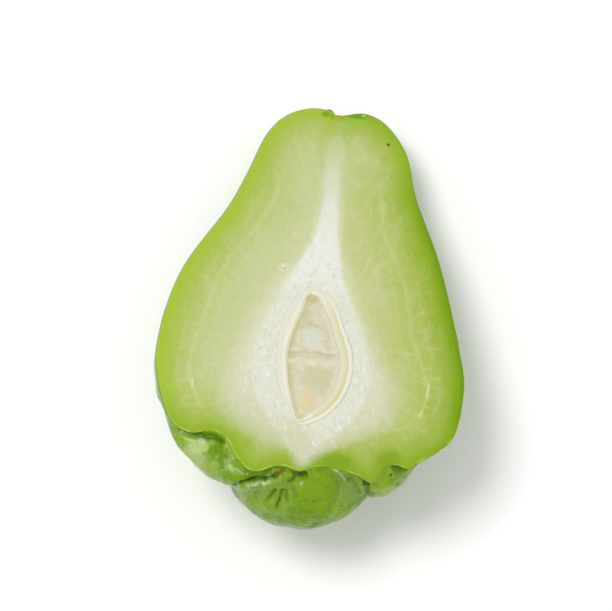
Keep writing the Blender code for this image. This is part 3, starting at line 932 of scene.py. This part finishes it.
def spongy(s, colour, x, y):
    """Flesh with its pale halo, the white sponge round the seed, and the sponge's threads."""
    grain = s.minus(s.noise(4.0, 4.0), 0.5)
    halo = halo_share(s, x, y, grain)
    pale = s.mix(s.ramp(y, 6.0, 40.0), seen(214, 213, 177), seen(228, 225, 200))
    colour = s.mix(halo, colour, pale)
    raised = s.plus(y, s.ramp(x, -1.0, 5.0, 0.0, 7.0))       # white reaches lower on the right
    white = s.mix(s.ramp(raised, 6.0, 22.0), seen(215, 215, 180), seen(230, 230, 212))
    white = s.paint(white, (238, 239, 228), s.ramp(y, 52.0, 66.0))
    inward = s.plus(s.field("pith"), s.times(grain, 2.0))
    sponge = sponge_share(s, y, raised, inward)
    colour = s.mix(sponge, colour, white)
    fringe = s.times(s.peak(inward, -0.4, 0.8), s.ramp(y, 30.0, 52.0, 0.0, 0.35),
                     s.ramp(y, 98.0, 80.0))
    colour = s.paint(colour, (226, 229, 178), fringe)
    threads = s.noise(7.0, 4.0, (1.0, 0.6, 1.0), 0.65, 0.8)
    loose = s.times(s.plus(sponge, halo), 0.32)
    colour = s.paint(colour, (204, 207, 184), s.times(s.ramp(threads, 0.50, 0.72), loose))
    return s.paint(colour, (252, 252, 246), s.times(s.ramp(threads, 0.48, 0.28), loose))


def speckled(s, colour, depth):
    """Flesh with wet grains, paler and darker than it."""
    speck = s.noise(22.0, 2.0, (1, 1, 1), 0.7)
    pale = s.times(s.ramp(speck, 0.54, 0.78, 0.0, 0.34), s.ramp(depth, 0.0, 8.0, 0.1, 1.0))
    colour = s.paint(colour, (234, 238, 196), pale)
    return s.paint(colour, (170, 182, 100), s.ramp(speck, 0.46, 0.22, 0.0, 0.20))


def edged(s, colour, y, depth):
    """Flesh with the skin's dark line round it, and the knife's pale line at the mouth."""
    peel = s.times(s.ramp(depth, 0.35, 0.05, 0.0, 0.7), s.ramp(y, 12.0, 20.0))
    colour = s.paint(colour, (112, 140, 18), peel)
    broken = s.ramp(s.noise(2.5, 2.0), 0.42, 0.62)
    faint = s.ramp(s.spot(*KNIFE_GAP), 0.0, 0.5, 1.0, 0.2)
    knife = s.times(s.peak(depth, 0.15, 0.55), s.ramp(y, 16.0, 10.0), broken, faint)
    return s.paint(colour, (190, 214, 96), knife)


def marked(s, colour):
    """Flesh with its small marks, and a drop of juice shown by a painted pale ring of light and a
    painted highlight.
    """
    for centre, size, tint, strength in FACE_MARKS:
        colour = s.paint(colour, tint, s.times(s.spot(centre, size), strength))
    # painted light: the drop's pale ring
    ring = s.peak(s.distance((*JUICE_DROP, 0.0)), DROP_RADIUS, 0.5)
    colour = s.paint(colour, (222, 226, 186), ring)
    # painted highlight: the drop's glint
    return s.paint(colour, (243, 245, 226), s.spot(*DROP_GLINT))


def flesh_material():
    """Cut flesh: green at the rim, pale inside, with the white spongy core."""
    s = Shader("cut_flesh")
    x, y = s.across_and_along()
    depth = s.field("rim")
    colour = green_flesh(s, x, y, depth)
    colour = mottled(s, colour, depth)
    colour = veined(s, colour, y)
    colour = spongy(s, colour, x, y)
    colour = speckled(s, colour, depth)
    colour = edged(s, colour, y, depth)
    colour = marked(s, colour)
    height = s.plus(s.noise(22.0, 3.0), s.times(s.noise(5.0, 2.0), 1.2))
    return s.finish(Base_Color=colour, Roughness=0.50, Specular_IOR_Level=0.15,
                    Normal=s.bump(height, 0.35, 0.0004))


# --- skin ---
def streaked(s, colour, y):
    """Skin with lengthwise streaks, and finer ones that are strongest near the mouth."""
    streak = s.noise(4.0, 4.0, (1.0, 0.16, 1.0), 0.6, 0.3)
    colour = s.paint(colour, (164, 192, 84), s.ramp(streak, 0.52, 0.72, 0.0, 0.40))
    colour = s.paint(colour, (92, 134, 2), s.ramp(streak, 0.48, 0.30, 0.0, 0.40))
    near_mouth = s.ramp(y, 26.0, 10.0, 0.30, 1.0)
    fine = s.noise(4.0, 5.0, (1.0, 0.6, 1.0), 0.7)
    pale = s.times(s.ramp(fine, 0.5, 0.70, 0.0, 0.55), near_mouth)
    dark = s.times(s.ramp(fine, 0.46, 0.28, 0.0, 0.60), near_mouth)
    colour = s.paint(colour, (178, 202, 104), pale)
    return s.paint(colour, (86, 128, 2), dark)


def shaded_folds_and_glints(s, colour):
    """Skin with painted shade in its folds, and pale glints along rims: painted highlights, partly
    pale stretched skin.
    """
    # painted shade: the deeper the fold, the darker the skin
    colour = s.paint(colour, (56, 100, 0), s.ramp(s.field("fold"), 0.2, 1.8, 0.0, 0.8))
    # painted highlights, partly pale stretched skin, broken up by noise
    glint_flecks = s.times(s.field("pale"), s.ramp(s.noise(9.0, 3.0), 0.40, 0.60, 0.1, 0.8))
    return s.paint(colour, (214, 232, 186), glint_flecks)


def skin_material():
    """Thin glossy green skin with its own tints and patches of painted shade and painted highlight,
    painted shade in its folds, painted highlights along rims, pale pores and fine grit.
    """
    s = Shader("green_skin")
    _, y = s.across_and_along()
    colour = s.colours(s.noise(0.7, 3.0, (1.0, 0.5, 1.0), 0.45), SKIN_CLOUDS)
    colour = streaked(s, colour, y)
    for centre, radius, tint, strength in SKIN_TINTS_SHADE_AND_GLINTS:
        colour = s.paint(colour, tint, s.times(s.ball(centre, radius), strength))
    colour = shaded_folds_and_glints(s, colour)
    colour = s.paint(colour, (206, 220, 160), s.ramp(s.cells(9.0), 0.05, 0.16, 0.35, 0.0))
    grit = s.noise(16.0, 3.0, (1, 1, 1), 0.7)
    colour = s.paint(colour, (190, 212, 120), s.ramp(grit, 0.54, 0.74, 0.0, 0.25))
    colour = s.paint(colour, (78, 112, 4), s.ramp(grit, 0.46, 0.26, 0.0, 0.45))
    height = s.plus(s.noise(8.0, 3.0, (1, 0.3, 1)), s.times(grit, 0.3))
    return s.finish(Base_Color=colour, Roughness=0.24, Specular_IOR_Level=0.16,
                    Coat_Weight=0.14, Coat_Roughness=0.08, Normal=s.bump(height, 0.35, 0.0006))


# --- seed ---
def coat_material():
    """Creamy seed coat, with a yellow stripe and fine brown lines on its right, and a painted
    highlight near its lower tip.
    """
    s = Shader("seed_coat_band")
    x, y = s.across_and_along()
    band = s.plus(s.field("band"), s.stray(s.noise(3.0, 2.0), 0.16))
    striped = s.colours(band, COAT_STRIPES)
    yellow = s.times(s.peak(band, 0.48, 0.26), s.spot((7.0, 24.5), (4.5, 7.5), -30), 0.55)
    striped = s.paint(striped, (215, 210, 124), yellow)
    right = s.ramp(s.plus(x, s.ramp(y, 30.0, 14.0, 0.0, 4.0)), -1.0, 3.5)
    right = s.times(right, s.ramp(y, 58.0, 46.0))
    colour = s.mix(right, s.colours(band, COAT_PLAIN), striped)
    # painted highlight near the coat's lower tip
    colour = s.paint(colour, (238, 234, 216), s.spot((0.6, 16.8), (2.2, 1.2), 30))
    grain = s.noise(16.0, 3.0, (1.0, 0.3, 1.0), 0.6)
    colour = s.paint(colour, (242, 240, 226), s.ramp(grain, 0.52, 0.75, 0.0, 0.35))
    return s.finish(Base_Color=colour, Roughness=0.42, Specular_IOR_Level=0.30,
                    Normal=s.bump(grain, 0.25, 0.0003))


def kernel_rim(s, colour, x, inside):
    """Kernel with a soft edge on the right, and a shaded wall and a pale rim of painted highlight
    on the left.
    """
    edge = s.times(s.ramp(inside, 2.6, 0.0), s.ramp(x, -1.0, 3.0))
    colour = s.paint(colour, (224, 217, 192), edge)
    wall = s.times(s.peak(inside, 1.2, 1.3), s.ramp(x, 1.0, -3.0), 0.7)
    colour = s.paint(colour, (205, 200, 150), wall)
    # painted highlight: the pale rim along the kernel's left edge
    rim = s.times(s.ramp(inside, 0.7, 0.2), s.ramp(x, 1.5, -1.0))
    return s.paint(colour, (246, 241, 212), rim)


def kernel_bands(s, colour, y, inside):
    """Kernel with its wavy bands across the middle."""
    bent = s.plus(y, s.stray(s.noise(1.4, 2.0), 2.4))
    patchy = s.ramp(s.noise(2.6, 2.0), 0.30, 0.5, 0.4, 1.0)
    across = s.times(s.ramp(inside, 0.0, 1.2), patchy)
    for middle, width, tint, strength in KERNEL_BANDS:
        colour = s.paint(colour, tint, s.times(s.peak(bent, middle, width), across, strength))
    return colour


def kernel_material():
    """Glossy beige kernel with patches (among them a painted shadow and a painted highlight at its
    top end), a shaded left wall, a pale rim of painted highlight and wavy bands.
    """
    s = Shader("seed_kernel_flesh")
    x, y = s.across_and_along()
    inside = s.field("inside")
    cloud = s.noise(3.4, 5.0, (1.0, 1.5, 1.0), 0.6)
    colour = s.colours(cloud, KERNEL_CLOUDS)
    for centre, size, turn, tint, strength in KERNEL_PATCHES:
        colour = s.paint(colour, tint, s.times(s.spot(centre, size, turn), strength))
    colour = kernel_rim(s, colour, x, inside)
    colour = kernel_bands(s, colour, y, inside)
    tip = s.times(s.peak(inside, 0.0, 0.4), s.ramp(y, 23.0, 18.5), 0.8)
    colour = s.paint(colour, (178, 160, 112), tip)
    height = s.plus(cloud, s.noise(14.0, 2.0))
    return s.finish(Base_Color=colour, Roughness=0.34, Specular_IOR_Level=0.4,
                    Normal=s.bump(height, 0.3, 0.0004))


# === the pieces ===
def over_all(values, count):
    """A field of the skin's rings in loft's order, and 0 on the points that follow."""
    known = np.concatenate([values[-1, :1], values[:-1][::-1].ravel()])
    return np.pad(known, (0, count - len(known)))


def fruit_half():
    """Skin and flesh in one mesh, with the empty seat of the seed."""
    angles = ray_angles()
    back, marks = wrinkle(skin(angles))
    below = back[:, :, 2].mean(1) < -EDGE_CLEARANCE
    edge = rounded_edge(back[0])
    face = cut_face(angles, edge[-1])
    seat = bowl(angles, COAT_OUTLINE, COAT_DEPTH, 0.0, SEAT_GAP)
    points, faces, owner = loft([*back[below][::-1], *edge, *face[1:], *seat[1:]])
    is_cut = owner >= below.sum() + EDGE_STEPS - 1
    fields = {name: outline_distance(outline, points[:, :2]) for name, outline in FACE_FIELDS}
    # the fold and pale fields, for the painted shade in folds and the painted highlights along rims
    for name, values in marks.items():
        fields[name] = over_all(values[below], len(points))
    piece = make("fruit_half_skin_and_flesh", press_flat(points), faces, fields,
                 [skin_material(), flesh_material()], is_cut.astype(int))
    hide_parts("fruit_half")


def seed_coat():
    """The coat: a level band at the cut, and a low wall inside it down to the kernel's rim."""
    angles = even_angles(SEED_AROUND)
    outer = bowl(angles, COAT_OUTLINE, COAT_DEPTH, 0.0)
    inner = bowl(angles, KERNEL_OUTLINE, KERNEL_DEPTH, -KERNEL_SUNK, COAT_GAP)
    sinks = ease((np.linspace(0, 1, WALL_RINGS + 1) - LEVEL_SHARE) / (1 - LEVEL_SHARE))
    wall = [outer[0] + (inner[0] - outer[0]) * np.array([1, 1, sink]) for sink in sinks]
    points, faces, _ = loft([*outer[::-1], *wall[1:], *inner[1:]])
    out = points[:, :2] - np.array(SEED_CENTRE)
    turn = np.arctan2(out[:, 1], out[:, 0])
    r_in, r_out = radius_at(KERNEL_OUTLINE, turn), radius_at(COAT_OUTLINE, turn)
    share = (np.hypot(*out.T) - r_in) / (r_out - r_in)
    piece = make("seed_coat_band", points, faces, {"band": share}, [coat_material()])
    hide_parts("seed_coat")


def kernel_relief(p):
    """Height of the kernel's face over its rim: a hollow with cross ridges and domes."""
    x, y = p[:, 0], p[:, 1]
    middle, left = KERNEL_HOLLOW
    height = middle + left * ease((HOLLOW_EDGE - x) / HOLLOW_WIDTH)
    for rise, at, width in KERNEL_RIDGES:
        height += rise * hill((y - at - RIDGE_SLANT * x) / width)
    for rise, (at_x, at_y), (wide, long) in KERNEL_DOMES:
        height += rise * hill(np.hypot((x - at_x) / wide, (y - at_y) / long))
    size, length, seed = KERNEL_RIPPLE
    return height + size * waves(p, length, seed)


def seed_kernel():
    """The kernel, with relief on its cut top."""
    angles = even_angles(SEED_AROUND)
    core = bowl(angles, KERNEL_OUTLINE, KERNEL_DEPTH, -KERNEL_SUNK)
    centre = np.array([*SEED_CENTRE, -KERNEL_SUNK])
    top = [core[0] + (centre - core[0]) * t for t in np.linspace(0, 1, KERNEL_RINGS + 1)]
    points, faces, _ = loft([*core[::-1], *top[1:]])
    inside = outline_distance(KERNEL_OUTLINE, points[:, :2])
    on_top = np.isclose(points[:, 2], -KERNEL_SUNK)
    points[:, 2] += kernel_relief(points) * ease(inside / RELIEF_FADE) * on_top
    piece = make("seed_kernel_flesh", points, faces, {"inside": inside}, [kernel_material()])
    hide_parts("seed_kernel")


# === floor, light and camera ===
def floor():
    """Plain pale floor under the fruit."""
    h = FLOOR_HALF
    mesh = bpy.data.meshes.new("floor")
    mesh.from_pydata([(-h, -h, 0), (h, -h, 0), (h, h, 0), (-h, h, 0)], [], [(0, 1, 2, 3)])
    s = Shader("floor_white")
    speckle = s.node("TexNoise", {"Scale": 300.0}).outputs["Fac"]
    mesh.materials.append(s.finish(Base_Color=s.mix(speckle, *FLOOR_COLOURS),
                                   Roughness=0.9, Specular_IOR_Level=0.1))
    piece = add_object("floor", mesh)


def key_light():
    """Round soft light above and to the left, turned to the fruit."""
    lamp = bpy.data.lights.new("key", "AREA")
    lamp.shape = "DISK"
    lamp.size = KEY_SIZE
    lamp.energy = KEY_POWER
    piece = add_object("key", lamp)
    piece.location = KEY_PLACE
    piece.rotation_euler = (-Vector(KEY_PLACE)).to_track_quat("-Z", "Y").to_euler()


def camera():
    """Camera that looks down on the cut face, from the blossom end's side."""
    off, lean = math.radians(OFF_NORMAL_DEG), math.radians(LEAN_DEG)
    right = np.array([math.cos(lean), math.sin(lean), 0.0])
    back = np.array([math.sin(off) * math.sin(lean), -math.sin(off) * math.cos(lean),
                     math.cos(off)])
    up = np.cross(back, right)
    turn = np.stack([LAY @ right, LAY @ up, LAY @ back], 1)
    lens = bpy.data.cameras.new("camera")
    lens.lens = FOCAL_MM
    lens.sensor_width = SENSOR_MM
    piece = add_object("camera", lens)
    spot = place(np.array(AIM) + back * VIEW_DISTANCE)
    piece.matrix_world = Matrix.Translation(spot) @ Matrix(turn.tolist()).to_4x4()
    bpy.context.scene.camera = piece


def studio():
    """Even pale sky, floor, key light and camera."""
    scene = bpy.context.scene
    scene.view_settings.view_transform = "Standard"
    scene.world = bpy.data.worlds.new("studio")
    scene.world.use_nodes = True
    sky = scene.world.node_tree.nodes["Background"]
    sky.inputs["Color"].default_value = SKY_COLOUR
    sky.inputs["Strength"].default_value = SKY_STRENGTH
    floor()
    key_light()
    camera()


fruit_half()
seed_coat()
seed_kernel()
studio()
